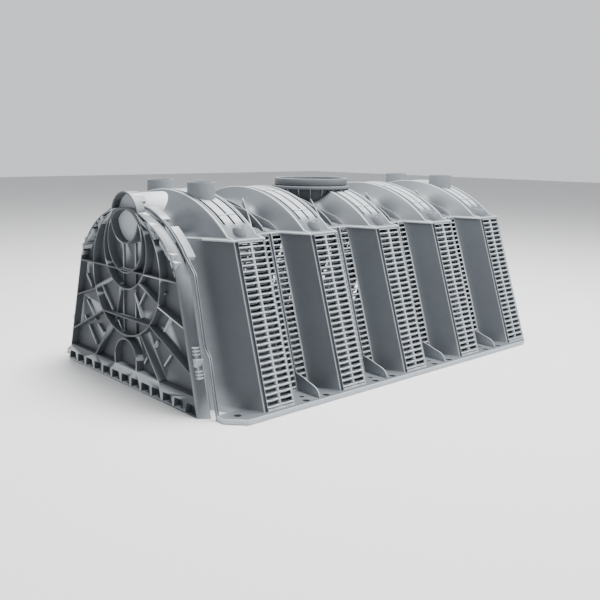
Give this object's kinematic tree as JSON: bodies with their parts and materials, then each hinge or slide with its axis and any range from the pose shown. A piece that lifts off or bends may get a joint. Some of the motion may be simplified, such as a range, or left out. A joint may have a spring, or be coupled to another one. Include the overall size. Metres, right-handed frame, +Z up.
{
  "type": "infiltration tunnel",
  "caption": "Open-bottomed corrugated plastic vault that lets rainwater soak into the ground, with louvred side walls, a flanged foot, a round top inlet and ribbed clip-on end plates.",
  "frame": {"origin": "middle of the base, on the ground", "axes": "+X along the tunnel from the front end plate to the rear one, +Z up"},
  "size_m": [1.2086, 0.8, 0.502],
  "materials": {
    "shell_plastic": "fine-grained matt grey polypropylene",
    "plate_plastic": "fine-grained matt grey polypropylene"
  },
  "bodies": {
    "root": {"tunnel_shell": "shell_plastic", "front_end_plate": "plate_plastic", "rear_end_plate": "plate_plastic"}
  },
  "joints": []
}
